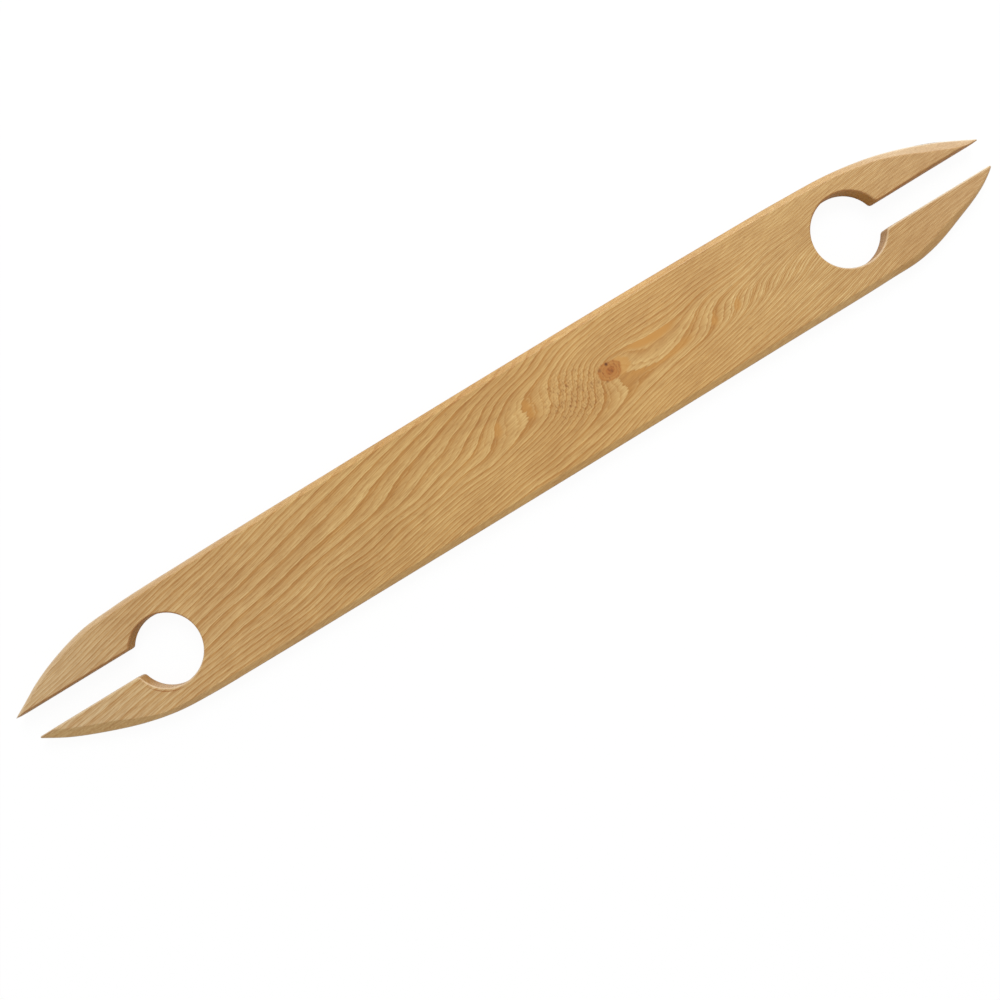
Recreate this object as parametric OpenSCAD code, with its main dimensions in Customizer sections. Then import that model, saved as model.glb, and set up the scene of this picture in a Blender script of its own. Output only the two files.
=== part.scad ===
// Stick shuttle for a loom: one flat board with a keyhole at each end.
// The board lies on z = 0 with its length along X and its width along Y.
// One end is drawn at +X, and the other is that end turned half a turn about Z.

/* [Board] */
// Length from tip to tip
overall_len = 505; // [440:5:600]
// Width across the straight sides
board_w = 58; // [50:1:70]
// Thickness of the board
board_t = 8; // [6:0.5:12]

/* [Prongs] */
// Length of the rounded taper on the blunter prong
short_taper = 66; // [50:1:78]
// Length of the rounded taper on the slimmer prong
long_taper = 85; // [80:1:110]
// How far the slimmer prong stops short of the blunter one
prong_step = 3; // [0:0.5:6]
// Width of the small flat nose on each prong
nose_w = 0.6; // [0.3:0.1:2]

/* [Keyholes] */
// Diameter of the round hole
hole_d = 35; // [26:0.5:40]
// Distance from the end of the board to the centre of the hole
hole_inset = 74; // [60:0.5:90]
// Sideways offset of the hole, towards the slimmer prong
hole_shift = 0.8; // [0:0.1:2]
// Width of the slot that leads to the hole
slot_w = 12.6; // [8:0.2:16]
// Sideways offset of the slot, towards the blunter prong
slot_shift = 1.5; // [0:0.1:3]
// Radius that softens the two corners between slot and hole
throat_r = 1.8; // [0.8:0.1:3]

/* [Bevels] */
// Width of the bevel round the outer edge, seen from above
bevel_w = 2.8; // [1:0.1:3.6]
// Depth of that bevel down the edge
bevel_h = 1.9; // [0.5:0.1:2.4]
// Length of slot edge that the planed flat takes off each prong
flat_run = 11; // [6:0.5:16]
// Slope of that flat below the face, in degrees
flat_angle = 26; // [12:1:30]

/* [Hidden] */

// Colour of the pale, oiled wood
wood = [0.78, 0.62, 0.42];

// Facets of a full circle
round_fn = 240;

// Overshoot that carries a cut past a face, and a hair's breadth where two arcs touch
over = 1;
hair = 0.01;

half_len = overall_len / 2;
half_w = board_w / 2;

// Centre and radius of the hole at +X
hole_r = hole_d / 2;
hole_at = [half_len - hole_inset, hole_shift];

// Edges of the slot at +X: the blunter prong lies on the -Y side
slot_lo = -slot_shift - slot_w / 2;
slot_hi = -slot_shift + slot_w / 2;

// Where each taper starts and ends along X
short_start = half_len - short_taper;
long_end = half_len - prong_step;
long_start = long_end - long_taper;

// Radius, to a hundredth, of an arc that leaves the side as a tangent and falls by drop over run
function arc_r(run, drop) = round(50 * (run * run + drop * drop) / drop) / 100;

short_r = arc_r(short_taper, half_w + slot_lo - nose_w);
long_r = arc_r(long_taper, half_w - slot_hi - nose_w);

// Section across the board from y_lo to y_hi, bevelled on the sides asked for
module board_section(y_lo, y_hi, bevel_lo, bevel_hi) {
    w_lo = bevel_lo ? bevel_w : 0;
    w_hi = bevel_hi ? bevel_w : 0;
    h_lo = bevel_lo ? bevel_h : 0;
    h_hi = bevel_hi ? bevel_h : 0;
    polygon([
        [y_lo + w_lo, 0], [y_hi - w_hi, 0], [y_hi, h_hi], [y_hi, board_t - h_hi],
        [y_hi - w_hi, board_t], [y_lo + w_lo, board_t], [y_lo, board_t - h_lo], [y_lo, h_lo]
    ]);
}

// The section run along X from x_lo to x_hi
module board_run(x_lo, x_hi, y_lo, y_hi, bevel_lo, bevel_hi) {
    translate([x_lo, 0, 0])
        rotate([90, 0, 90])
            linear_extrude(x_hi - x_lo)
                board_section(y_lo, y_hi, bevel_lo, bevel_hi);
}

// Bevelled disc whose rim is the curved edge of a prong
module prong_disc(centre, r) {
    translate(centre)
        rotate_extrude($fn = 2 * round_fn)
            polygon([
                [0, 0], [r - bevel_w, 0], [r, bevel_h],
                [r, board_t - bevel_h], [r - bevel_w, board_t], [0, board_t]
            ]);
}

module blunt_disc() {
    prong_disc([short_start, short_r - half_w, 0], short_r);
}

module slim_disc() {
    prong_disc([long_start, half_w - long_r, 0], long_r);
}

// Solid end at +X: straight on one side first, then curved on both
module tapered_end() {
    intersection() {
        board_run(long_start, short_start, -half_w, board_w, true, false);
        slim_disc();
    }
    intersection() {
        translate([short_start, -board_w, 0])
            cube([short_taper, 2 * board_w, board_t]);
        blunt_disc();
        slim_disc();
    }
}

// Wedge that rounds one corner between the slot edge at y_edge and the hole:
// the round left in the wood is centred on q and touches both
module throat_corner(y_edge, side) {
    q_y = y_edge + side * throat_r;
    reach = hole_r + throat_r - hair;
    q = [hole_at.x + sqrt(reach * reach - pow(q_y - hole_at.y, 2)), q_y];
    in_hole = hole_at + (q - hole_at) * (hole_r - over) / reach;
    in_slot = [q.x, y_edge - side * over];
    translate([0, 0, -over])
        difference() {
            linear_extrude(board_t + 2 * over)
                polygon([[in_hole.x, in_slot.y], in_slot, q, in_hole]);
            translate([q.x, q.y, -over])
                cylinder(h = board_t + 4 * over, r = throat_r, $fn = round_fn);
        }
}

// Round hole, the slot that opens it to the end, and its softened corners
module keyhole() {
    translate([hole_at.x, hole_at.y, -over])
        cylinder(h = board_t + 2 * over, r = hole_r, $fn = round_fn);
    translate([hole_at.x, slot_lo, -over])
        cube([hole_inset + over, slot_w, board_t + 2 * over]);
    throat_corner(slot_lo, -1);
    throat_corner(slot_hi, 1);
}

// Block above a sloping plane that starts on the top face along the line from a to b
module sloped_block(a, b, side) {
    run = b - a;
    translate([a.x, a.y, board_t])
        rotate([0, 0, atan2(run.y, run.x)])
            rotate([-side * flat_angle, 0, 0])
                translate([-norm(run), side > 0 ? 0 : -board_w, 0])
                    cube([3 * norm(run), board_w, board_w]);
}

// Planed flats on the outer side of both prongs, on the top face
module top_flats() {
    sloped_block([short_start, bevel_w - half_w], [half_len - flat_run, slot_lo], -1);
    sloped_block([long_start, half_w - bevel_w], [long_end - flat_run, slot_hi], 1);
}

// Cut that ends the slimmer prong
module slim_nose_cut() {
    translate([long_end, -slot_shift, -over])
        cube([prong_step + over, board_w, board_t + 2 * over]);
}

// Everything cut from the end at +X
module end_cuts() {
    keyhole();
    slim_nose_cut();
    top_flats();
    translate([0, 0, board_t])
        mirror([0, 0, 1])
            top_flats();
}

module shuttle_blade() {
    color(wood)
        difference() {
            union() {
                board_run(-long_start, long_start, -half_w, half_w, true, true);
                for (turn = [0, 180])
                    rotate([0, 0, turn])
                        tapered_end();
            }
            for (turn = [0, 180])
                rotate([0, 0, turn])
                    end_cuts();
        }
}

shuttle_blade();
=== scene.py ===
import math

import bpy
import numpy as np
from mathutils.geometry import delaunay_2d_cdt
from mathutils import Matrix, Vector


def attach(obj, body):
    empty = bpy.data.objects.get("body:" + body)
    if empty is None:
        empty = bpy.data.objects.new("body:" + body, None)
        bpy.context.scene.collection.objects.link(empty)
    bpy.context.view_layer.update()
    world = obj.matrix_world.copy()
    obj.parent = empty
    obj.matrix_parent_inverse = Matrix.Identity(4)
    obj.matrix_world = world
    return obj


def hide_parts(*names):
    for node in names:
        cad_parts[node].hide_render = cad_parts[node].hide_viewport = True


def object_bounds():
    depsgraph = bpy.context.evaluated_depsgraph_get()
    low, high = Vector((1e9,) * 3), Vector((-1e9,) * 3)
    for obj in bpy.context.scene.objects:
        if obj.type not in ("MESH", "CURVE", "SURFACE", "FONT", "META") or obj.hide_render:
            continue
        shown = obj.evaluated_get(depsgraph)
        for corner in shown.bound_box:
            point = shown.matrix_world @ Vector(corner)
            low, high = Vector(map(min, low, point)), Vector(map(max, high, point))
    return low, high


# A stick shuttle for a loom: one flat board of wood with a keyhole at each end

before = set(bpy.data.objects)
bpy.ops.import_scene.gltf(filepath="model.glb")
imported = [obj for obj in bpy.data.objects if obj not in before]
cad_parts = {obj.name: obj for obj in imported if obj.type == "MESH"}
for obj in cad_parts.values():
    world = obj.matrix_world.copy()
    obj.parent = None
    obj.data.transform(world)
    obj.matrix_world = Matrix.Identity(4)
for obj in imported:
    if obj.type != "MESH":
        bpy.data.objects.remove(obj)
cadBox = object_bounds()
print("frame loaded")

mm = 0.001


def linearColour(hexText):
    # sRGB hex to the linear colour that a socket holds, by the standard's two-part curve
    colour = []
    for start in (1, 3, 5):
        value = int(hexText[start:start + 2], 16) / 255
        colour.append(value / 12.92 if value <= 0.04045 else ((value + 0.055) / 1.055) ** 2.4)
    return (*colour, 1)


def addNode(tree, kind, inputs=(), output=0, **settings):
    # adds a node with its settings and returns one of its outputs; an input, by place or by
    # name, is a value, a socket to link from, or None to leave as it is
    node = tree.nodes.new(kind)
    for name, value in settings.items():
        setattr(node, name, value)
    for key, value in inputs.items() if isinstance(inputs, dict) else enumerate(inputs):
        if isinstance(value, bpy.types.NodeSocket):
            tree.links.new(value, node.inputs[key])
        elif value is not None:
            node.inputs[key].default_value = value
    return node.outputs[output] if node.outputs else node


# The blade's plan in millimetres: the board lies along x, and y is across it
blade = {
    "thickness": (cadBox[1][2] - cadBox[0][2]) / mm,  # as the solid's
    # each side from the left tip to the right tip: a slightly bowed edge between two tapers
    "upperSide": [
        (-252, 7.3), (-245, 11.2), (-237, 15.8), (-221, 22.4), (-205, 26.5), (-189, 27.8),
        (-150, 28.6), (-75, 28.9), (0, 28.98), (75, 28.7), (125, 28.1), (160, 27.4),
        (184, 26.1), (200, 23.6), (216, 19.5), (232, 13.5), (240, 9.5), (248.3, 4.6),
    ],
    "lowerSide": [
        (-247.6, -5.2), (-237, -11.4), (-221, -18.3), (-205, -23.7), (-189, -27.2),
        (-168, -28.6), (-150, -28.75), (-60, -28.98), (50, -28.85), (130, -28.5), (184, -28.2),
        (200, -27.7), (208, -26.2), (224, -20.7), (240, -13.4), (246.6, -8.7),
    ],
    # outward is the way to that end, slotY the slot's middle line and slotHalf half its width
    "leftKeyhole": {
        "outward": -1, "centre": (-177.4, -1.25), "radius": 16.7,
        "slotY": 1.38, "slotHalf": 6.2, "throatRadius": 1.8,
    },
    "rightKeyhole": {
        "outward": 1, "centre": (177.75, 0.25), "radius": 16.9,
        "slotY": -1.72, "slotHalf": 6.2, "throatRadius": 1.8,
    },
    # bevel along each side: (x, width, depth), wider where a flat was planed towards a tip
    "upperBevel": [
        (-252, 1.2, 1), (-240, 2.2, 1.6), (-215, 2.6, 1.9), (-150, 2.6, 1.9), (-60, 3, 1.9),
        (60, 3, 1.9), (130, 2.6, 1.9), (205, 3, 2.2), (215, 4.1, 2.9),
        (224, 5, 3.3), (230, 5.1, 3.4), (240, 4.5, 3.1), (249, 1.9, 1.6),
    ],
    "lowerBevel": [
        (-248, 3.6, 2), (-240, 4.6, 2.5), (-230, 4.9, 2.8), (-213, 4.9, 2.8), (-203, 3.4, 2.2),
        (-194, 2.1, 1.9), (-165, 2.7, 2.1), (0, 2.9, 2.1), (150, 2.9, 2), (194, 2.7, 1.9),
        (203, 3.3, 2.3), (213, 3.7, 2.5), (222, 3, 2.2), (230, 1.6, 1.4), (247, 0.9, 0.8),
    ],
    # extra bevel on the slot's edge of the upper right prong
    "slotBevel": [(203, 0.6, 0), (222, 1, 1.1), (240, 1, 1.1), (248, 0.6, 0.6)],
    # rows of points that follow the sides and the keyholes: how far in each one lies
    "sideRows": [
        0.05, 0.14, 0.28, 0.48, 0.8, 1.3, 1.8, 2.1, 2.3, 2.5, 2.7, 2.9, 3.1, 3.4, 3.8, 4.2, 4.6,
        4.9, 5.2,
    ],
    "holeRows": [0.06, 0.16, 0.32, 0.55, 0.9, 1.3],
    "wallRows": 4,  # rows of faces down the edge
    "spacing": 1.25,  # between points
    "cornerSpacing": 0.35,  # between points where slot and hole meet
    "tipPoints": 7,  # of the curve that rounds a prong's tip
}


def smoothPath(points, spacing):
    # smooth curve through the points, with a point about every spacing
    knots = np.array(points, float)
    run = np.append(0, np.cumsum(np.linalg.norm(np.diff(knots, axis=0), axis=1)))
    slope = np.gradient(knots, run, axis=0)
    at = np.linspace(0, run[-1], round(run[-1] / spacing) + 1)
    k = np.clip(np.searchsorted(run, at, side="right") - 1, 0, len(knots) - 2)
    width = (run[k + 1] - run[k])[:, None]
    t = (at - run[k])[:, None] / width
    return (
        (1 + 2 * t) * (1 - t) ** 2 * knots[k] + t * (1 - t) ** 2 * width * slope[k]
        + t ** 2 * (3 - 2 * t) * knots[k + 1] + t ** 2 * (t - 1) * width * slope[k + 1]
    )


def straightPath(start, end, spacing):
    count = max(1, round(math.dist(start, end) / spacing))
    return np.linspace(start, end, count + 1)


def arcPath(centre, radius, startAngle, endAngle, spacing):
    count = max(3, round(abs(endAngle - startAngle) * radius / spacing))
    angles = np.linspace(startAngle, endAngle, count + 1)
    return np.array(centre) + radius * np.stack([np.cos(angles), np.sin(angles)], axis=1)


def keyholePath(hole, upperTip, lowerTip):
    # slot edge in from one tip, round the hole and back out to the other tip
    centre = np.array(hole["centre"]) * (hole["outward"], 1)
    radius, throat = hole["radius"], hole["throatRadius"]
    halves = []
    for side, tip in ((1, upperTip), (-1, lowerTip)):
        edgeY = hole["slotY"] + side * hole["slotHalf"]
        cornerY = edgeY + side * throat
        reach = math.sqrt((radius + throat) ** 2 - (cornerY - centre[1]) ** 2)
        corner = np.array([centre[0] + reach, cornerY])
        toHole = math.atan2(centre[1] - corner[1], centre[0] - corner[0])
        arc = arcPath(corner, throat, -side * math.pi / 2, toHole, blade["cornerSpacing"])
        edge = straightPath((abs(tip[0]), edgeY), arc[0], blade["spacing"])
        halves.append((edge, arc, math.atan2(corner[1] - centre[1], corner[0] - centre[0])))
    (edgeA, arcA, angleA), (edgeB, arcB, angleB) = halves
    around = arcPath(centre, radius, angleA, angleB + 2 * math.pi, blade["spacing"])
    path = np.concatenate([edgeA, arcA[1:], around[1:], arcB[::-1][1:], edgeB[::-1][1:]])
    return path * (hole["outward"], 1)


def rounded(before, tip, after):
    # short curve that rounds a prong's tip between its side and its slot edge
    t = np.linspace(0, 1, blade["tipPoints"])[:, None]
    return (1 - t) ** 2 * before + 2 * t * (1 - t) * np.array(tip) + t ** 2 * after


def gapTo(paths, points):
    # distance from each point to the nearest of the paths
    starts = np.concatenate([path[:-1] for path in paths])
    runs = np.concatenate([np.diff(path, axis=0) for path in paths])
    lengths = (runs ** 2).sum(1)
    gaps = np.empty(len(points))
    block = 2000  # points at a time, to spare memory
    for first in range(0, len(points), block):
        away = points[first:first + block, None] - starts
        share = np.clip((away * runs).sum(2) / lengths, 0, 1)
        gaps[first:first + block] = np.sqrt(((away - share[..., None] * runs) ** 2).sum(2).min(1))
    return gaps


def bladeRim():
    # closed rim, clockwise: upper side, right keyhole, lower side, left keyhole
    upper = smoothPath(blade["upperSide"], blade["spacing"])
    lower = smoothPath(blade["lowerSide"], blade["spacing"])[::-1]
    right = keyholePath(blade["rightKeyhole"], upper[-1], lower[0])
    left = keyholePath(blade["leftKeyhole"], upper[0], lower[-1])[::-1]
    parts = [upper, right, lower, left]
    rim, isSide, paths = [], [], []
    for part, following in zip(parts, parts[1:] + parts[:1]):
        nose = rounded(part[-2], part[-1], following[1])
        half = len(nose) // 2
        rim += [part[1:-1], nose[1:-1]]
        side = part is upper or part is lower
        isSide += [side] * (len(part) - 2 + half) + [not side] * (len(nose) - 2 - half)
        paths.append((side, part, nose[:half + 1], nose[half:]))
    sidePaths, holePaths = [], []
    for side, part, own, others in paths:
        (sidePaths if side else holePaths).extend([part[1:-1], own])
        (holePaths if side else sidePaths).append(others)
    return np.concatenate(rim), np.array(isSide), sidePaths, holePaths


def byStation(stations, x):
    # width and depth at each x, in between the listed places
    at, widths, depths = np.array(stations, float).T
    return np.interp(x, at, widths), np.interp(x, at, depths)


def insideRim(rim, points):
    # true where a line to the right of the point crosses the rim an odd number of times
    nextRim = np.roll(rim, -1, axis=0)
    inside = np.zeros(len(points), bool)
    for (x0, y0), (x1, y1) in zip(rim, nextRim):
        if y0 != y1:
            spans = (points[:, 1] < y0) != (points[:, 1] < y1)
            inside ^= spans & (points[:, 0] < x0 + (points[:, 1] - y0) * (x1 - x0) / (y1 - y0))
    return inside


def bladePlan():
    # points of the plan: the rim, rows that follow it inwards, and an even fill. A row's point
    # stays if it is nearly that far from its own edge and clear of the other
    rim, isSide, sidePaths, holePaths = bladeRim()
    along = np.roll(rim, -1, axis=0) - np.roll(rim, 1, axis=0)
    inward = np.stack([along[:, 1], -along[:, 0]], axis=1)
    inward /= np.linalg.norm(inward, axis=1)[:, None]
    nearly, beyond, clear = 0.97, 1.05, 0.15
    points = [rim]
    for offset in blade["sideRows"]:
        row = rim[isSide] + offset * inward[isSide]
        room = min(offset * beyond, blade["holeRows"][-1] + clear)
        keep = (gapTo(sidePaths, row) > nearly * offset) & (gapTo(holePaths, row) > room)
        points.append(row[keep])
    for offset in blade["holeRows"]:
        row = rim[~isSide] + offset * inward[~isSide]
        keep = (gapTo(holePaths, row) > nearly * offset) & (gapTo(sidePaths, row) > offset)
        points.append(row[keep])
    step = blade["spacing"]
    rowStep = step * math.sqrt(3) / 2
    columns, rows = np.floor(np.abs(rim).max(axis=0) / (step, rowStep))
    xs = np.arange(-columns, columns + 1) * step
    ys = np.arange(-rows, rows + 1) * rowStep
    grid = np.stack(np.meshgrid(xs, ys), axis=-1)
    grid[1::2, :, 0] += step / 2
    fill = grid.reshape(-1, 2)
    keep = insideRim(rim, fill)
    keep &= gapTo(sidePaths, fill) > blade["sideRows"][-1] + step / 2
    keep &= gapTo(holePaths, fill) > blade["holeRows"][-1] + step / 2
    points.append(fill[keep])
    return rim, isSide, sidePaths, holePaths, np.concatenate(points)


rim, isSide, sidePaths, holePaths, plan = bladePlan()
print("plan points", len(plan), "rim", len(rim))


# Growth rings as they run across the top face: ring number, then points on that ring in
# millimetres. They climb to the right, wrap round a knot right of the middle and close up below it
growthLines = {
    -10: [(-235, 13), (-215, 17.6), (-195, 22.6), (-175, 26.5)],
    -7: [(-235, 8.7), (-215, 12), (-195, 17), (-175, 21.7), (-165, 24)],
    -4: [(-195, 9.5), (-165, 14.5), (-143, 19.3), (-121, 25)],
    -1: [(-155, 6.9), (-131, 12.3), (-107, 18.5), (-83, 24.4)],
    1: [(-215, -13.8), (-195, -10.3), (-155, -2.7), (-131, 1.5), (-107, 7.1), (-71, 16.2), (-38, 25)],
    3: [(-195, -16.9), (-165, -14.2), (-131, -8.2), (-107, -3.5), (-83, 0.2), (-60, 4.7), (-57, 6.8),
        (-35, 14.6), (-11, 22.5)],
    4: [(-107, -8.2), (-83, -4.3), (-59, -0.8), (-47, 2), (-38, 6.3), (-17, 14.2), (7, 22.6)],
    5: [(-195, -23), (-155, -17.9), (-131, -16.4), (-107, -12.4), (-83, -8.2), (-47, -2.4), (-23, 3.6),
        (-17, 7.5), (-5, 13), (19, 22.5)],
    7: [(-165, -23.5), (-131, -20), (-95, -14.3), (-59, -9), (-23, -3), (-5, 2.4), (1, 10), (13, 16.3),
        (37, 24.2)],
    8: [(-131, -24), (-95, -18.6), (-59, -13.1), (-11, -6.7), (7, -0.7), (12, 1.2), (13.5, 5),
        (14.5, 9), (25, 15.2), (37, 20.1), (61, 24.6)],
    9: [(-107, -23.5), (-71, -18.2), (-47, -13.6), (-11, -9.4), (13, -4.4), (24, 1), (26, 5), (28, 10),
        (37, 16.3), (55, 21.1), (85, 23.5), (135, 24)],
    11: [(-83, -23.2), (-47, -16.7), (-11, -12.1), (13, -8), (31, -0.3), (35.5, 6), (43, 14.9),
        (61, 18.8), (95, 20.7), (155, 21.7)],
    13: [(-71, -24.5), (-35, -18.1), (1, -13.3), (25, -8.4), (37, 1.2), (44, 10.8), (61, 15.6),
        (95, 17.7), (155, 19.2)],
    15: [(-47, -24.3), (-23, -20.3), (13, -15.3), (31, -10.7), (43, -1), (47, 5), (51, 9.6),
        (61, 11.7), (95, 13.2), (135, 16.4)],
    17: [(-29, -24.6), (-5, -20.6), (19, -17.1), (37, -13), (43, -10.4), (48, -1), (50, 4), (53, 6.7),
        (67, 7.7), (85, 6.5), (105, 10.5), (145, 14.9), (165, 16.3), (195, 20.3)],
    17.5: [(62, 2), (72, 1), (84, 2)],  # light lens behind the knot
    18: [(-11, -24), (19, -20.6), (49, -15), (56, -12.3), (59.5, -9.5), (57, -6.2), (66, -4.5),
        (75, -5.4), (90, -2.2), (100, 2.3), (125, 9.3), (155, 13), (195, 17.5)],
    19: [(19, -24.3), (43, -20.2), (61, -15.2), (95, -8.2), (104, -4), (105.5, -0.8), (108, 1.3),
        (125, 6.4), (155, 10.6), (195, 16.2)],
    20: [(49, -20.4), (75, -14.4), (105, -9), (116.5, -4), (118, -0.5), (135, 5.5), (155, 8.7),
        (195, 13.9), (215, 15.7)],
    22: [(75, -17.8), (115, -10.5), (131, -4.5), (136, 0.5), (155, 5.7), (195, 10.5), (215, 11.9)],
    24: [(75, -20.3), (115, -13.1), (145, -5.5), (155, 0.6), (195, 8), (225, 8.3)],
    26: [(75, -22.8), (115, -15.7), (145, -9.6), (155, -6.6), (205, 5.6), (225, 6.3)],
    28: [(85, -24.4), (115, -19.9), (145, -14.2), (165, -10.1)],
    30: [(125, -22.8), (155, -16.6), (195, -9.5)],
    32: [(145, -24.2), (175, -17.2), (215, -11.5), (235, -9.7)],
    34: [(165, -25), (185, -18.5), (215, -14.9)],
    36: [(185, -22.5), (205, -18.9), (225, -16.9)],
}

# How the rings carry on between the drawn lines, and down into the board
grain = {
    "alongShare": 0.45,  # the rings change more slowly along the board
    "smoothing": 0.05,
    "kernelScale": 1000,  # keeps the kernel's numbers small beside the smoothing
    "dip": (1.2, 0.4, 0.25),  # how far the rings run in x and y, and their number, for each mm down
}


def growthKernel(distance):
    return distance ** 3 / grain["kernelScale"]


def growthAt(points, depth):
    # ring number at each point, by a smooth surface through the drawn rings
    squeeze = np.array([grain["alongShare"], 1])
    knots = np.array([point for line in growthLines.values() for point in line]) * squeeze
    levels = np.array([level for level, line in growthLines.items() for point in line], float)
    apart = np.linalg.norm(knots[:, None] - knots, axis=2)
    plane = np.hstack([np.ones((len(knots), 1)), knots])
    system = np.block([
        [growthKernel(apart) + grain["smoothing"] * np.eye(len(knots)), plane],
        [plane.T, np.zeros((3, 3))],
    ])
    weights = np.linalg.solve(system, np.append(levels, [0, 0, 0]))
    dipX, dipY, dipLevel = grain["dip"]
    moved = (points + np.outer(depth, (dipX, dipY))) * squeeze
    ringNumber = weights[-3] + moved @ weights[-2:] + dipLevel * depth
    block = 4000  # points at a time, to spare memory
    for first in range(0, len(moved), block):
        part = slice(first, first + block)
        reach = np.linalg.norm(moved[part, None] - knots, axis=2)
        ringNumber[part] += growthKernel(reach) @ weights[:-3]
    return ringNumber


def boardMesh():
    # top sheet, bottom sheet and wall rows over the plan; the node tree gives them their heights
    count, rimCount = len(plan), len(rim)
    steps = [(k, (k + 1) % rimCount) for k in range(rimCount)]
    insideOnly, tolerance = 1, 1e-7
    points, _, triangles, _, _, _ = delaunay_2d_cdt(plan.tolist(), steps, [], insideOnly, tolerance)
    if len(points) != count:
        raise ValueError("the plan's points were merged")
    triangles = np.array(triangles)
    corners = plan[triangles]
    turn = np.cross(corners[:, 1] - corners[:, 0], corners[:, 2] - corners[:, 0])
    triangles[turn < 0] = triangles[turn < 0][:, ::-1]
    wallRows = blade["wallRows"]
    levels = 1 - np.arange(1, wallRows) / wallRows
    flat = np.concatenate([plan, plan] + [rim] * len(levels))
    rise = np.concatenate([np.ones(count), np.zeros(count), np.repeat(levels, rimCount)])
    rings = [np.arange(rimCount)]
    rings += [2 * count + k * rimCount + np.arange(rimCount) for k in range(len(levels))]
    rings.append(count + np.arange(rimCount))
    quads = []
    for above, below in zip(rings, rings[1:]):
        quads.append(np.stack([above, np.roll(above, -1), np.roll(below, -1), below], axis=1))
    faces = triangles.tolist() + (triangles[:, ::-1] + count).tolist()
    faces += np.concatenate(quads).tolist()
    mesh = bpy.data.meshes.new("shuttleBlade")
    mesh.from_pydata([(x * mm, y * mm, 0) for x, y in flat], [], faces)
    sideGap, holeGap = gapTo(sidePaths, flat), gapTo(holePaths, flat)
    x, y = flat.T
    isUpper = y > np.where(x > 0, blade["rightKeyhole"]["slotY"], blade["leftKeyhole"]["slotY"])
    upper = byStation(blade["upperBevel"], x)
    lower = byStation(blade["lowerBevel"], x)
    bevelWidth = np.where(isUpper, upper[0], lower[0])
    bevelDepth = np.where(isUpper, upper[1], lower[1])
    slotWidth, slotDepth = byStation(blade["slotBevel"], x)
    slotDepth *= isUpper
    drop = bevelDepth * np.clip(1 - sideGap / bevelWidth, 0, 1)
    depth = drop + (1 - rise) * (blade["thickness"] - 2 * drop)
    values = {
        "rise": rise, "sideGap": sideGap * mm, "holeGap": holeGap * mm,
        "bevelWidth": bevelWidth * mm, "bevelDepth": bevelDepth * mm,
        "slotWidth": slotWidth * mm, "slotDepth": slotDepth * mm,
        "growth": growthAt(flat, depth),
    }
    for name, value in values.items():
        attribute = mesh.attributes.new(name, "FLOAT", "POINT")
        attribute.data.foreach_set("value", value.astype(np.float32))
    addBakeMap(mesh, flat, rise, len(triangles), rimCount)
    return mesh


# The baked colours lie on a flat sheet, in millimetres: four half faces, then the edge in strips
bakeSheet = {
    "size": 286,
    "margin": 1,
    "halfFaces": 4,
    "halfHeight": 29,  # from a half face's middle to its long side
    # the edge's height on the sheet, along the sides and in the keyholes
    "sideHeight": 4.6,
    "holeHeight": 7.6,
}


def addBakeMap(mesh, flat, rise, sheetFaces, rimCount):
    faceCount = len(mesh.polygons)
    starts = np.empty(faceCount, int)
    mesh.polygons.foreach_get("loop_start", starts)
    cornerVertex = np.empty(len(mesh.loops), int)
    mesh.loops.foreach_get("vertex_index", cornerVertex)
    sizes = np.diff(np.append(starts, len(cornerVertex)))
    faceOf = np.repeat(np.arange(faceCount), sizes)
    margin = bakeSheet["margin"]
    halfStrip = bakeSheet["halfHeight"] + margin
    # faces: left and right halves of the top, then of the bottom
    x, y = flat[cornerVertex].T
    isRight = (np.add.reduceat(x, starts) / sizes)[faceOf] > 0
    strip = isRight + 2 * (faceOf >= sheetFaces)
    u = np.where(isRight, x, -x) + 2 * margin
    v = strip * 2 * halfStrip + halfStrip + y
    # edge: the rim unrolled, cut at the middle of each side and at the tips
    steps = np.linalg.norm(np.roll(rim, -1, axis=0) - rim, axis=1)
    run = np.append(0, np.cumsum(steps))
    cuts = [0]
    for k in range(1, rimCount):
        crossed = isSide[k] and isSide[k - 1] and rim[k][0] * rim[k - 1][0] <= 0
        if crossed or isSide[k] != isSide[k - 1]:
            cuts.append(k)
    cuts.append(rimCount)
    base = bakeSheet["halfFaces"] * 2 * halfStrip + margin
    wallCorner = np.where(faceOf >= 2 * sheetFaces)[0]
    wallQuad = (faceOf[wallCorner] - 2 * sheetFaces) % rimCount
    # each quad's corners lie at its own rim point, the next one twice, and its own again
    cornerStep = np.tile([0, 1, 1, 0], faceCount - 2 * sheetFaces)
    for first, last in zip(cuts, cuts[1:]):
        height = bakeSheet["sideHeight"] if isSide[first] else bakeSheet["holeHeight"]
        chosen = (wallQuad >= first) & (wallQuad < last)
        corner = wallCorner[chosen]
        u[corner] = run[wallQuad[chosen] + cornerStep[chosen]] - run[first] + 2 * margin
        v[corner] = base + rise[cornerVertex[corner]] * height
        base += height + margin
    print("bake sheet uses", round(u.max(), 1), "by", round(v.max(), 1), "of", bakeSheet["size"])
    layer = mesh.uv_layers.new(name="OFBake")
    corners = np.stack([u, v], axis=1) / bakeSheet["size"]
    layer.data.foreach_set("uv", corners.astype(np.float32).ravel())


# Heights of the blade: what the node tree asks for, in millimetres
shaping = {
    "Thickness": blade["thickness"],
    "Crease Softness": 0.12,
    "Side Arris": 0.8,
    "Hole Arris": 0.9,
    "Unevenness": 0.07,
    "Unevenness Length": 45,
}
unevenSeed = 7
shapeFields = ("rise", "sideGap", "holeGap", "bevelWidth", "bevelDepth", "slotWidth", "slotDepth")


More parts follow.
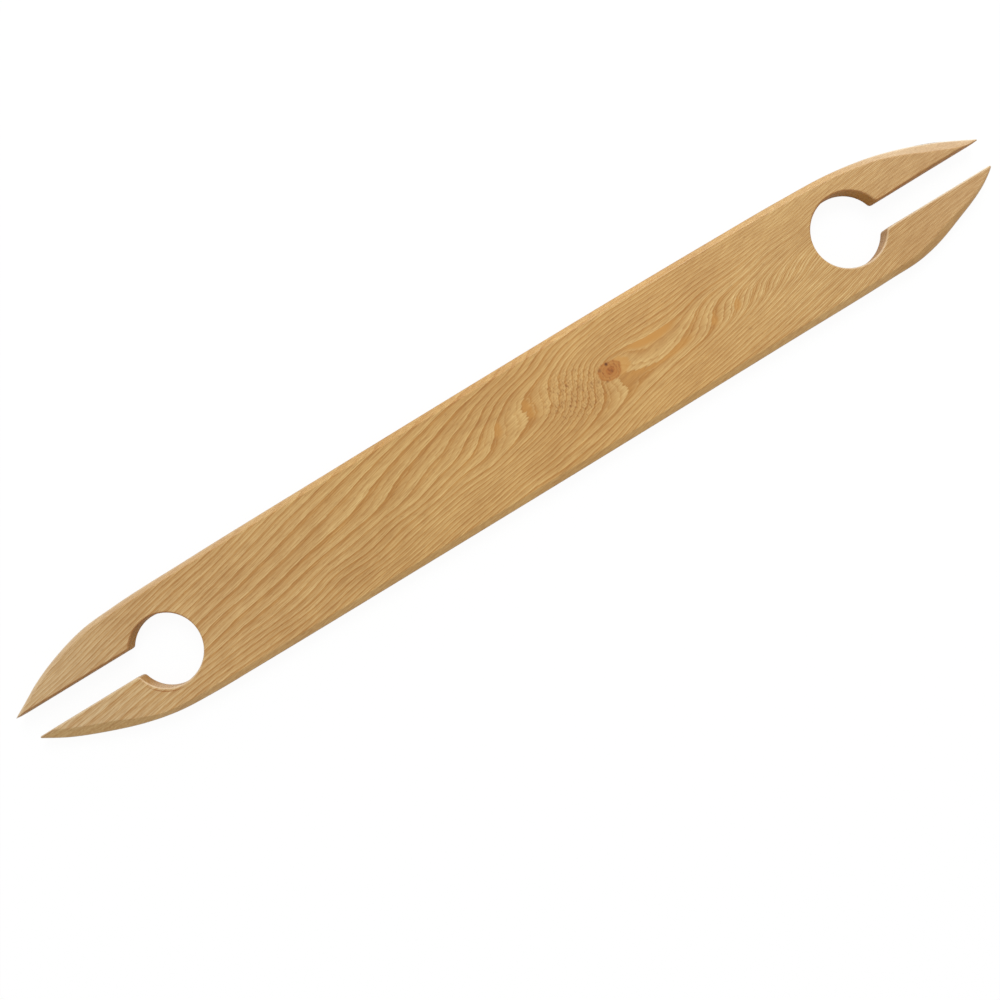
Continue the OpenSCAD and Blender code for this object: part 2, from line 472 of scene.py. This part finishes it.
def shapingTree():
    tree = bpy.data.node_groups.new("shapeBlade", "GeometryNodeTree")
    tree.interface.new_socket("Geometry", in_out="INPUT", socket_type="NodeSocketGeometry")
    for name in shaping:
        tree.interface.new_socket(name, in_out="INPUT", socket_type="NodeSocketFloat")
    tree.interface.new_socket("Seed", in_out="INPUT", socket_type="NodeSocketInt")
    tree.interface.new_socket("Material", in_out="INPUT", socket_type="NodeSocketMaterial")
    tree.interface.new_socket("Geometry", in_out="OUTPUT", socket_type="NodeSocketGeometry")
    given = addNode(tree, "NodeGroupInput").node.outputs
    read = {}
    for name in shapeFields:
        inputs = {"Name": name}
        read[name] = addNode(tree, "GeometryNodeInputNamedAttribute", inputs, data_type="FLOAT")

    # bevels fall evenly towards the edge, with a softened crease
    bevels = []
    bevelFields = (("sideGap", "bevelWidth", "bevelDepth"), ("holeGap", "slotWidth", "slotDepth"))
    for gap, width, depth in bevelFields:
        share = addNode(tree, "ShaderNodeMath", (read[gap], read[width]), operation="DIVIDE")
        left = addNode(tree, "ShaderNodeMath", (1.0, share), operation="SUBTRACT")
        slope = addNode(tree, "ShaderNodeMath", (left, read[depth]), operation="MULTIPLY")
        softness = given["Crease Softness"]
        bevels.append(addNode(tree, "ShaderNodeMath", (slope, 0.0, softness), operation="SMOOTH_MAX"))
    drop = addNode(tree, "ShaderNodeMath", bevels, operation="MAXIMUM")

    # arrises are quarter rounds
    for gap, size in (("sideGap", given["Side Arris"]), ("holeGap", given["Hole Arris"])):
        inside = addNode(tree, "ShaderNodeMath", (size, read[gap]), operation="SUBTRACT")
        inside = addNode(tree, "ShaderNodeMath", (inside, 0.0), operation="MAXIMUM")
        square = addNode(tree, "ShaderNodeMath", (inside, inside), operation="MULTIPLY")
        whole = addNode(tree, "ShaderNodeMath", (size, size), operation="MULTIPLY")
        rest = addNode(tree, "ShaderNodeMath", (whole, square), operation="SUBTRACT")
        root = addNode(tree, "ShaderNodeMath", (rest,), operation="SQRT")
        arris = addNode(tree, "ShaderNodeMath", (size, root), operation="SUBTRACT")
        drop = addNode(tree, "ShaderNodeMath", (drop, arris), operation="ADD")

    # both faces are slightly uneven, as hand planing leaves them
    place = addNode(tree, "GeometryNodeInputPosition")
    scale = addNode(tree, "ShaderNodeMath", (1.0, given["Unevenness Length"]), operation="DIVIDE")
    falls = []
    for isTop in (True, False):
        seed = addNode(tree, "ShaderNodeMath", (given["Seed"], float(isTop)), operation="ADD")
        noiseInputs = {"Vector": place, "W": seed, "Scale": scale, "Detail": 1.0}
        noise = addNode(tree, "ShaderNodeTexNoise", noiseInputs, noise_dimensions="4D")
        fall = (noise, given["Unevenness"], drop)
        falls.append(addNode(tree, "ShaderNodeMath", fall, operation="MULTIPLY_ADD"))
    top = addNode(tree, "ShaderNodeMath", (given["Thickness"], falls[0]), operation="SUBTRACT")
    span = addNode(tree, "ShaderNodeMath", (top, falls[1]), operation="SUBTRACT")
    height = addNode(tree, "ShaderNodeMath", (span, read["rise"], falls[1]), operation="MULTIPLY_ADD")
    lift = addNode(tree, "ShaderNodeCombineXYZ", {"Z": height})
    shaped = addNode(tree, "GeometryNodeSetPosition", {"Geometry": given["Geometry"], "Offset": lift})
    smooth = addNode(tree, "GeometryNodeSetShadeSmooth", {"Geometry": shaped, "Shade Smooth": True})
    real = addNode(tree, "GeometryNodeRealizeInstances", {"Geometry": smooth})
    inputs = {"Geometry": real, "Material": given["Material"]}
    painted = addNode(tree, "GeometryNodeSetMaterial", inputs)
    addNode(tree, "NodeGroupOutput", {"Geometry": painted})
    return tree


def shapedPiece(name, mesh, tree, values):
    # runs the tree on the mesh and keeps the result as a plain mesh
    piece = bpy.data.objects.new(name, mesh)
    bpy.context.scene.collection.objects.link(piece)
    modifier = piece.modifiers.new("shape", "NODES")
    modifier.node_group = tree
    for item in tree.interface.items_tree:
        if item.in_out == "INPUT" and item.name in values:
            modifier[item.identifier] = values[item.name]
    graph = bpy.context.evaluated_depsgraph_get()
    shaped = bpy.data.meshes.new_from_object(piece.evaluated_get(graph))
    piece.modifiers.clear()
    piece.data = shaped
    return piece


def makeBlade(material):
    values = {name: value * mm for name, value in shaping.items()}
    values.update({"Seed": unevenSeed, "Material": material})
    piece = shapedPiece("shuttleBlade", boardMesh(), shapingTree(), values)
    for name in shapeFields:
        if name != "holeGap":
            piece.data.attributes.remove(piece.data.attributes[name])
    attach(piece, "root")
    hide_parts("shuttle_blade")
    print("blade triangles", sum(len(face.vertices) - 2 for face in piece.data.polygons))
    return piece


# Flat-sawn alder, planed by hand and oiled: a soft sheen, pale early wood that darkens to a thin
# brown line at the end of each year's ring, fine fibres along the rings and small dark pores
alder = {
    "roughness": (0.34, 0.44),  # between fibres, and on them
    "ior": 1.46,
    "sheen": (0.5, 0.08),  # on the faces, and on the cut walls
    "relief": 0.28,  # strength of the fine relief, and its depth
    "reliefDepth": 0.05,
    # noise fields: length along the board, length across it, turn in degrees and detail. The
    # fibres and pores are drawn coarser than real ones, so that they show
    "fields": {
        "sway": (60, 11, 12, 1),
        "wobble": (9, 1.6, 12, 3),
        "ripple": (1.5, 5, 4, 2),
        "fibres": (7, 0.46, 13, 2),
        "pores": (2.4, 0.5, 13, 1),
        "flecks": (0.6, 1.9, 8, 2),
        "cloud": (34, 16, 10, 2),
    },
    "fieldMean": 0.5,  # of any of them
    # how a field becomes a share of colour: where it starts, where it is full, and the most
    "shares": {
        "fibres": (0.34, 0.7, 0.6),
        "pores": (0.62, 0.76, 0.28),
        "flecks": (0.54, 0.68, 1),
        "cloud": (0.35, 0.7, 0.35),
    },
    "fibre": "#D3BCA0",
    "pore": "#A8835C",
    # what changes along the board, from the left tip to the right tip
    "ends": (-252, 252),
    "alongBoard": {
        # greyer at the left, warmest in the middle and palest at the right
        "earlyWood": [
            (-252, "#E5D1A9"), (-215, "#E4CDA0"), (-160, "#E5C78E"), (-60, "#E4C484"),
            (20, "#E6C482"), (90, "#EFD08E"), (160, "#F1D99E"), (252, "#EDD6A8"),
        ],
        # strength of the rings, and of the fainter bands in them
        "rings": [(-252, 0.65), (-170, 0.95), (-100, 1), (100, 1), (150, 0.7), (252, 0.4)],
        "bands": [(-252, 0.75), (-170, 0.48), (0, 0.36), (100, 0.48), (150, 0.7), (252, 0.85)],
        # strength of the painted highlight on what faces the upper side, and of the painted shade on
        # what faces the lower side: both lie at the tips
        "paintedHighlight": [(-252, 0.3), (-150, 0.25), (-60, 0), (180, 0), (200, 0.35), (215, 0.8), (252, 1)],
        "lowerSideShade": [(-252, 1), (-200, 1), (-175, 0.5), (-60, 0), (175, 0), (195, 0.8), (252, 1)],
    },
    "lateWood": "#D6B78F",  # what a ring's end takes from the early wood's colour
    # share of late wood from the start of a ring to its end
    "ringShare": [
        (0, 1), (0.08, 0.97), (0.17, 0.68), (0.3, 0.48), (0.6, 0.37), (0.85, 0.18), (0.93, 0),
        (0.98, 0.1), (1, 1),
    ],
    "weakestRing": 0.8,  # strength of the faintest year
    "bandsInRing": 3,
    "ringMoves": {"sway": 0.2, "wobble": 0.24},  # how many rings these fields move them
    # the bands grow stronger between these shares of the board's length, where the rings narrow
    "narrowFrom": (0.62, 0.85),
    "narrowShare": 0.85,
    # the rings fade to a mean tone on bevels and cut walls: how upright the surface is where they
    # are faintest and where they show fully, and their share where they are faintest
    "meanLate": 0.54,
    "fadeRings": (0.8, 0.95, 0.3),
    # the wood is crumpled before the knot
    "ripple": {
        "centre": (36.5, 1), "size": (22, 16), "edge": (1, 0.3), "rings": 1.1, "flecks": 0.55,
    },
}

# Warm stains where the rings run flat beside the knot, and an orange halo on its right
stains = {
    "tone": "#C89046",
    "edge": (1.1, 0.5),
    "inRing": (0.55, 0.3),  # the patches lie only in a ring's first half
    # x, y, half length, half width, strength
    "patches": [
        (78, 5.6, 14, 4, 0.9), (78, -4.4, 20, 3, 0.6), (-1, 6, 3, 5, 0.45),
        (15.5, 6.5, 2.5, 5, 0.5), (106, -2, 2.5, 4, 0.5), (118.5, -2, 2.5, 4, 0.5),
    ],
    "halo": (60.5, 1.6, 5.5, 4.4, 0.7),
    "haloRagged": 0.6,
    "haloEdge": (1.3, 1),
}

# The knot: brown wood with a darker heart, faint rings and a few dark resin pins
knot = {
    "centre": (55.4, 1.9),
    "size": (5.9, 4.5),
    "ragged": 0.5,
    # how far from the centre each starts and is full, in sizes of the knot, and the most
    "rim": (1.32, 1.12, 0.9),
    "core": (0.9, 0.2, 0.6),
    "wood": "#BC8340",
    "heart": "#A85708",
    "rings": 3.4,  # from the centre to its edge
    "ringShare": 0.45,
    "fleck": "#A26E38",
    "pin": "#5A2A05",
    "pinEdge": (1.5, 0.4),
    # x, y, radius and strength
    "pins": [
        (55.4, 5.3, 0.7, 0.95), (56.1, 1.6, 0.9, 0.4), (52, -1.6, 0.6, 0.4),
        (51.4, 4.4, 0.8, 0.45),
    ],
}

# Edges: cut walls, painted highlight on what faces the upper side and painted shade on what faces the
# lower side, and a line scribed round part of the left hole
edges = {
    "wallFrom": (0.6, 0.2),  # how upright the surface is where the cut wall starts, and is full
    "rimWidth": (1.2, 0.6),  # how far from the keyholes' edge the rim starts, and is full
    # by how far the surface faces along y, for the painted highlight and the painted shade: where it
    # starts, where it is full, and the most
    "facing": {
        "paintedHighlight": (0.45, 0.75, 0.9),
        "lowerSideShade": (-0.22, -0.42, 1),
        "rimHighlight": (0.1, 0.6, 0.5),
        "shadedRim": (-0.05, -0.45, 0.9),
    },
    "endGrain": "#E0D0B4",
    # painted highlight colour, on what faces the upper side
    "pale": "#F3E6CC",
    # painted shade colours, on the keyholes' rims and on the lower side
    "rimShadeColour": "#C9985F",
    # painted shade colour for what faces the lower side near the tips
    "lowerShadeTint": "#F8F1D8",
    "scribed": "#D0A272",
    "scribe": {
        "radius": 18.2, "width": 0.22, "middle": (-187, -17.5), "reach": 10, "edge": (1, 0.4),
        "share": 0.8,
    },
}

# sockets of the Mix node when it mixes colours
mixSocket = {"factor": 0, "first": 6, "second": 7, "result": 2}


def farFrom(tree, place, centre, size):
    # 0 at the centre of an oval patch on the board, 1 at its rim
    patch = {
        "Vector": place,
        "Location": (centre[0] * mm, centre[1] * mm, 0),
        "Scale": (size[0] * mm, size[1] * mm, 1),
    }
    oval = addNode(tree, "ShaderNodeMapping", patch, vector_type="TEXTURE")
    flat = addNode(tree, "ShaderNodeVectorMath", (oval, (1, 1, 0)), operation="MULTIPLY")
    return addNode(tree, "ShaderNodeVectorMath", (flat,), output="Value", operation="LENGTH")


def setStops(rampOutput, stops):
    elements = rampOutput.node.color_ramp.elements
    while len(elements) < len(stops):
        elements.new(1)
    for element, (at, value) in zip(elements, stops):
        element.position = at
        element.color = linearColour(value) if isinstance(value, str) else (value, value, value, 1)


def woodFields(tree, place):
    # one noise for each field, stretched along the grain
    field = {}
    for name, (along, across, turn, detail) in alder["fields"].items():
        stretch = {
            "Vector": place,
            "Rotation": (0, 0, math.radians(turn)),
            "Scale": (along * mm, across * mm, across * mm),
        }
        turned = addNode(tree, "ShaderNodeMapping", stretch, vector_type="TEXTURE")
        inputs = {"Vector": turned, "Scale": 1.0, "Detail": float(detail)}
        field[name] = addNode(tree, "ShaderNodeTexNoise", inputs)
    return field


def lengthBalance(tree, place):
    # the place along the board from 0 to 1, and what changes with it
    left, right = alder["ends"]
    x = addNode(tree, "ShaderNodeSeparateXYZ", (place,), output="X")
    along = addNode(tree, "ShaderNodeMapRange", (x, left * mm, right * mm, 0.0, 1.0))
    balance = {}
    for name, stops in alder["alongBoard"].items():
        balance[name] = addNode(tree, "ShaderNodeValToRGB", (along,))
        setStops(balance[name], [((at - left) / (right - left), value) for at, value in stops])
    return along, balance


def ringNumber(tree, field, rippled):
    # the drawn rings, swayed a little, and crumpled before the knot
    ripple = (rippled, alder["ripple"]["rings"])
    crumpling = addNode(tree, "ShaderNodeMath", ripple, operation="MULTIPLY")
    ring = addNode(tree, "ShaderNodeAttribute", output="Fac", attribute_name="growth")
    for name, amount in {**alder["ringMoves"], "ripple": crumpling}.items():
        even = (field[name], alder["fieldMean"])
        even = addNode(tree, "ShaderNodeMath", even, operation="SUBTRACT")
        ring = addNode(tree, "ShaderNodeMath", (even, amount, ring), operation="MULTIPLY_ADD")
    return ring


def lateWood(tree, ring, inRing, cloud, along, balance, upright):
    # a line at the end of each year, stronger in some years, and fainter bands in between
    year = addNode(tree, "ShaderNodeMath", (ring,), operation="FLOOR")
    chance = addNode(tree, "ShaderNodeTexWhiteNoise", {"W": year}, noise_dimensions="1D")
    strength = (chance, 0.0, 1.0, alder["weakestRing"], 1.0)
    strength = addNode(tree, "ShaderNodeMapRange", strength)
    strength = addNode(tree, "ShaderNodeMath", (strength, balance["rings"]), operation="MULTIPLY")
    band = (ring, alder["bandsInRing"], cloud)
    band = addNode(tree, "ShaderNodeMath", band, operation="MULTIPLY_ADD")
    inBand = addNode(tree, "ShaderNodeMath", (band,), operation="FRACT")
    ringLine = addNode(tree, "ShaderNodeValToRGB", (inRing,))
    bandLine = addNode(tree, "ShaderNodeValToRGB", (inBand,))
    for line in (ringLine, bandLine):
        setStops(line, alder["ringShare"])
    late = addNode(tree, "ShaderNodeMath", (ringLine, strength), operation="MULTIPLY")
    late = (bandLine, balance["bands"], late)
    late = addNode(tree, "ShaderNodeMath", late, operation="MULTIPLY_ADD")

    # both fade on the bevels and the cut walls
    mean = alder["meanLate"]
    kept = addNode(tree, "ShaderNodeMapRange", (upright, *alder["fadeRings"], 1.0))
    late = addNode(tree, "ShaderNodeMath", (late, mean), operation="SUBTRACT")
    late = addNode(tree, "ShaderNodeMath", (late, kept, mean), operation="MULTIPLY_ADD")

    # the bands once more, where the rings are narrow
    narrow = (along, *alder["narrowFrom"], 0.0, alder["narrowShare"])
    narrow = addNode(tree, "ShaderNodeMapRange", narrow)
    narrow = addNode(tree, "ShaderNodeMath", (bandLine, narrow), operation="MULTIPLY")
    return late, narrow


def stainLayers(tree, place, inRing, wobble):
    layers = []
    firstHalf = (inRing, *stains["inRing"], 0.0, 1.0)
    firstHalf = addNode(tree, "ShaderNodeMapRange", firstHalf, interpolation_type="SMOOTHSTEP")
    for x, y, halfLength, halfWidth, most in stains["patches"]:
        away = farFrom(tree, place, (x, y), (halfLength, halfWidth))
        share = (away, *stains["edge"], 0.0, most)
        share = addNode(tree, "ShaderNodeMapRange", share, interpolation_type="SMOOTHSTEP")
        share = addNode(tree, "ShaderNodeMath", (share, firstHalf), operation="MULTIPLY")
        layers.append((share, stains["tone"], "MIX"))
    x, y, halfLength, halfWidth, most = stains["halo"]
    away = farFrom(tree, place, (x, y), (halfLength, halfWidth))
    halo = (wobble, stains["haloRagged"], away)
    halo = addNode(tree, "ShaderNodeMath", halo, operation="MULTIPLY_ADD")
    halo = (halo, *stains["haloEdge"], 0.0, most)
    halo = addNode(tree, "ShaderNodeMapRange", halo, interpolation_type="SMOOTHSTEP")
    layers.append((halo, stains["tone"], "MIX"))
    return layers


def knotLayers(tree, place, wobble, fleck, rippled):
    layers = []
    away = farFrom(tree, place, knot["centre"], knot["size"])
    away = addNode(tree, "ShaderNodeMath", (wobble, knot["ragged"], away), operation="MULTIPLY_ADD")
    for reach, tone in ((knot["rim"], knot["wood"]), (knot["core"], knot["heart"])):
        outer, inner, most = reach
        share = (away, outer, inner, 0.0, most)
        share = addNode(tree, "ShaderNodeMapRange", share, interpolation_type="SMOOTHSTEP")
        layers.append((share, tone, "MIX"))
    outer, inner, _ = knot["rim"]
    inKnot = addNode(tree, "ShaderNodeMapRange", (away, outer, inner, 0.0, knot["ringShare"]))
    knotRing = addNode(tree, "ShaderNodeMath", (away, knot["rings"]), operation="MULTIPLY")
    knotRing = addNode(tree, "ShaderNodeMath", (knotRing,), operation="FRACT")
    knotRing = addNode(tree, "ShaderNodeMath", (knotRing, inKnot), operation="MULTIPLY")
    layers.append((knotRing, knot["heart"], "MIX"))

    # flecks in the knot and in the crumpled wood before it
    flecked = (rippled, alder["ripple"]["flecks"])
    flecked = addNode(tree, "ShaderNodeMath", flecked, operation="MULTIPLY")
    flecked = addNode(tree, "ShaderNodeMath", (flecked, inKnot), operation="MAXIMUM")
    fleck = addNode(tree, "ShaderNodeMath", (fleck, flecked), operation="MULTIPLY")
    layers.append((fleck, knot["fleck"], "MULTIPLY"))
    for x, y, radius, most in knot["pins"]:
        pin = farFrom(tree, place, (x, y), (radius, radius))
        pin = addNode(tree, "ShaderNodeMapRange", (pin, *knot["pinEdge"], 0.0, most))
        layers.append((pin, knot["pin"], "MIX"))
    return layers


def scribedLine(tree, place):
    # part of a circle round the left hole, faint towards its ends
    scribe = edges["scribe"]
    radius, reach = scribe["radius"], scribe["reach"]
    line = farFrom(tree, place, blade["leftKeyhole"]["centre"], (radius, radius))
    line = (line, 1.0, scribe["width"] / radius)
    line = addNode(tree, "ShaderNodeMath", line, operation="COMPARE")
    nearby = farFrom(tree, place, scribe["middle"], (reach, reach))
    nearby = (nearby, *scribe["edge"], 0.0, scribe["share"])
    nearby = addNode(tree, "ShaderNodeMapRange", nearby)
    return addNode(tree, "ShaderNodeMath", (line, nearby), operation="MULTIPLY")


def edgeLayers(tree, place, normal, upright, onWall, balance):
    # painted light: what faces the upper side is painted pale as a highlight, and what faces the lower
    # side is painted browner as shade
    facing = addNode(tree, "ShaderNodeSeparateXYZ", (normal,), output="Y")
    gap = addNode(tree, "ShaderNodeAttribute", output="Fac", attribute_name="holeGap")
    start, full = edges["rimWidth"]
    onRim = addNode(tree, "ShaderNodeMapRange", (gap, start * mm, full * mm, 0.0, 1.0))
    onRim = addNode(tree, "ShaderNodeMath", (onRim, upright), operation="MULTIPLY")
    where = {
        "paintedHighlight": balance["paintedHighlight"], "lowerSideShade": balance["lowerSideShade"], "rimHighlight": onRim, "shadedRim": onRim,
    }
    share = {}
    for name, (start, full, most) in edges["facing"].items():
        share[name] = addNode(tree, "ShaderNodeMapRange", (facing, start, full, 0.0, most))
        reached = (share[name], where[name])
        share[name] = addNode(tree, "ShaderNodeMath", reached, operation="MULTIPLY")
    pale = (share["paintedHighlight"], share["rimHighlight"])
    pale = addNode(tree, "ShaderNodeMath", pale, operation="MAXIMUM")
    return [
        (scribedLine(tree, place), edges["scribed"], "MULTIPLY"),
        (onWall, edges["endGrain"], "MULTIPLY"),
        # painted highlight on what faces the upper side, on the long edges and the keyholes' rims
        (pale, edges["pale"], "MIX"),
        # painted shade on the keyholes' rims that face the lower side
        (share["shadedRim"], edges["rimShadeColour"], "MULTIPLY"),
        # painted shade on what faces the lower side
        (share["lowerSideShade"], edges["lowerShadeTint"], "MULTIPLY"),
    ]


def alderMaterial():
    material = bpy.data.materials.new("oiledAlder")
    material.use_nodes = True
    tree = material.node_tree
    tree.nodes.clear()
    place = addNode(tree, "ShaderNodeTexCoord", output="Object")
    normal = addNode(tree, "ShaderNodeNewGeometry", output="Normal")
    upright = addNode(tree, "ShaderNodeSeparateXYZ", (normal,), output="Z")
    upright = addNode(tree, "ShaderNodeMath", (upright,), operation="ABSOLUTE")
    onWall = addNode(tree, "ShaderNodeMapRange", (upright, *edges["wallFrom"], 0.0, 1.0))
    field = woodFields(tree, place)
    along, balance = lengthBalance(tree, place)
    ripple = alder["ripple"]
    rippled = farFrom(tree, place, ripple["centre"], ripple["size"])
    rippled = (rippled, *ripple["edge"], 0.0, 1.0)
    rippled = addNode(tree, "ShaderNodeMapRange", rippled, interpolation_type="SMOOTHSTEP")
    ring = ringNumber(tree, field, rippled)
    inRing = addNode(tree, "ShaderNodeMath", (ring,), operation="FRACT")
    late, narrow = lateWood(tree, ring, inRing, field["cloud"], along, balance, upright)
    share = {}
    for name, (start, full, most) in alder["shares"].items():
        share[name] = addNode(tree, "ShaderNodeMapRange", (field[name], start, full, 0.0, most))
    pore = addNode(tree, "ShaderNodeMath", (share["pores"], upright), operation="MULTIPLY")

    # early wood, then what colours it, one layer over the other
    layers = [
        (late, alder["lateWood"], "MULTIPLY"),
        (narrow, alder["lateWood"], "MULTIPLY"),
        (share["fibres"], alder["fibre"], "MULTIPLY"),
        (share["cloud"], alder["fibre"], "MULTIPLY"),
        (pore, alder["pore"], "MULTIPLY"),
        *stainLayers(tree, place, inRing, field["wobble"]),
        *knotLayers(tree, place, field["wobble"], share["flecks"], rippled),
        *edgeLayers(tree, place, normal, upright, onWall, balance),
    ]
    colour = balance["earlyWood"]
    for amount, tone, blend in layers:
        inputs = {
            mixSocket["factor"]: amount,
            mixSocket["first"]: colour,
            mixSocket["second"]: linearColour(tone),
        }
        result = mixSocket["result"]
        colour = addNode(tree, "ShaderNodeMix", inputs, result, data_type="RGBA", blend_type=blend)

    # fine relief: hard late wood and open fibres
    relief = (share["fibres"], -1.0, late)
    relief = addNode(tree, "ShaderNodeMath", relief, operation="MULTIPLY_ADD")
    inputs = {"Height": relief, "Strength": alder["relief"], "Distance": alder["reliefDepth"] * mm}
    bump = addNode(tree, "ShaderNodeBump", inputs)
    shine = (share["fibres"], 0.0, 1.0, *alder["roughness"])
    shine = addNode(tree, "ShaderNodeMapRange", shine)
    sheen = addNode(tree, "ShaderNodeMapRange", (onWall, 0.0, 1.0, *alder["sheen"]))
    wood = addNode(tree, "ShaderNodeBsdfPrincipled", {
        "Base Color": colour, "Roughness": shine, "IOR": alder["ior"], "Normal": bump,
        "Specular IOR Level": sheen,
    })
    addNode(tree, "ShaderNodeOutputMaterial", {"Surface": wood})
    print("material", material.name, "nodes", len(tree.nodes))
    return material


# Plain white surround: the floor keeps a faint shadow, and the light is soft
studio = {
    "floorSize": 6,
    "white": "#FFFFFF",
    "paper": "#F6F6F6",
    "floorShade": 0.08,  # share of the floor that takes light and shadow
    "floorWhite": 1.015,  # strength of the white that the camera sees on the rest of it
    "ambient": 0.66,  # strength of the light from all round
    # lamps: way across the floor, rise in degrees, distance, width and height, power
    "lamps": {
        "keyLight": {
            "way": (0.5, 0.85), "rise": 45, "distance": 1.6, "size": (0.9, 0.9), "power": 11.8,
        },
        "lowLight": {
            "way": (0.3, 0.95), "rise": 11, "distance": 1.6, "size": (2.8, 0.25), "power": 4.1,
        },
    },
}


def addFloor():
    half = studio["floorSize"] / 2
    mesh = bpy.data.meshes.new("floor")
    corners = [(-half, -half, 0), (half, -half, 0), (half, half, 0), (-half, half, 0)]
    mesh.from_pydata(corners, [], [(0, 1, 2, 3)])
    floor = bpy.data.objects.new("floor", mesh)
    bpy.context.scene.collection.objects.link(floor)
    material = bpy.data.materials.new("whitePaper")
    material.use_nodes = True
    tree = material.node_tree
    tree.nodes.clear()
    paper = addNode(tree, "ShaderNodeBsdfDiffuse", {"Color": linearColour(studio["paper"])})
    bright = {"Color": linearColour(studio["white"]), "Strength": studio["floorWhite"]}
    shown = addNode(tree, "ShaderNodeEmission", bright)
    cameraRay = addNode(tree, "ShaderNodeLightPath", output="Is Camera Ray")
    seen = (cameraRay, 1 - studio["floorShade"])
    seen = addNode(tree, "ShaderNodeMath", seen, operation="MULTIPLY")
    surface = addNode(tree, "ShaderNodeMixShader", (seen, paper, shown))
    addNode(tree, "ShaderNodeOutputMaterial", {"Surface": surface})
    mesh.materials.append(material)


def addLight():
    world = bpy.data.worlds.new("studio")
    bpy.context.scene.world = world
    world.use_nodes = True
    tree = world.node_tree
    tree.nodes.clear()
    white = linearColour(studio["white"])
    soft = addNode(tree, "ShaderNodeBackground", {"Color": white, "Strength": studio["ambient"]})
    shown = addNode(tree, "ShaderNodeBackground", {"Color": white, "Strength": 1.0})
    seen = addNode(tree, "ShaderNodeLightPath", output="Is Camera Ray")
    mixed = addNode(tree, "ShaderNodeMixShader", (seen, soft, shown))
    addNode(tree, "ShaderNodeOutputWorld", {"Surface": mixed})

    for name, lamp in studio["lamps"].items():
        data = bpy.data.lights.new(name, "AREA")
        data.shape = "ELLIPSE"
        data.size, data.size_y = lamp["size"]
        data.energy = lamp["power"]
        light = bpy.data.objects.new(name, data)
        bpy.context.scene.collection.objects.link(light)
        rise = math.radians(lamp["rise"])
        across, along = lamp["way"]
        out = lamp["distance"] * math.cos(rise) / math.hypot(across, along)
        light.location = (out * across, out * along, lamp["distance"] * math.sin(rise))
        light.rotation_euler = light.location.to_track_quat("Z", "Y").to_euler()


# Camera over the board, turned so that the board climbs to the right; millimetres and degrees
view = {
    "at": (-12.88, -19.355, 388.75),
    "turn": (-0.50878, 0.21437, -31.37966),
    "lens": 30.96,
    "sensor": 36,
    "nearest": 10,
}


def addCamera():
    camera = bpy.data.cameras.new("camera")
    camera.lens = view["lens"]
    camera.sensor_width = view["sensor"]
    camera.clip_start = view["nearest"] * mm
    holder = bpy.data.objects.new("camera", camera)
    bpy.context.scene.collection.objects.link(holder)
    holder.location = [value * mm for value in view["at"]]
    holder.rotation_euler = [math.radians(value) for value in view["turn"]]
    bpy.context.scene.camera = holder


addFloor()
addLight()
addCamera()
print("floor, lamps and camera in place")
makeBlade(alderMaterial())

bpy.context.scene.view_settings.view_transform = "Standard"
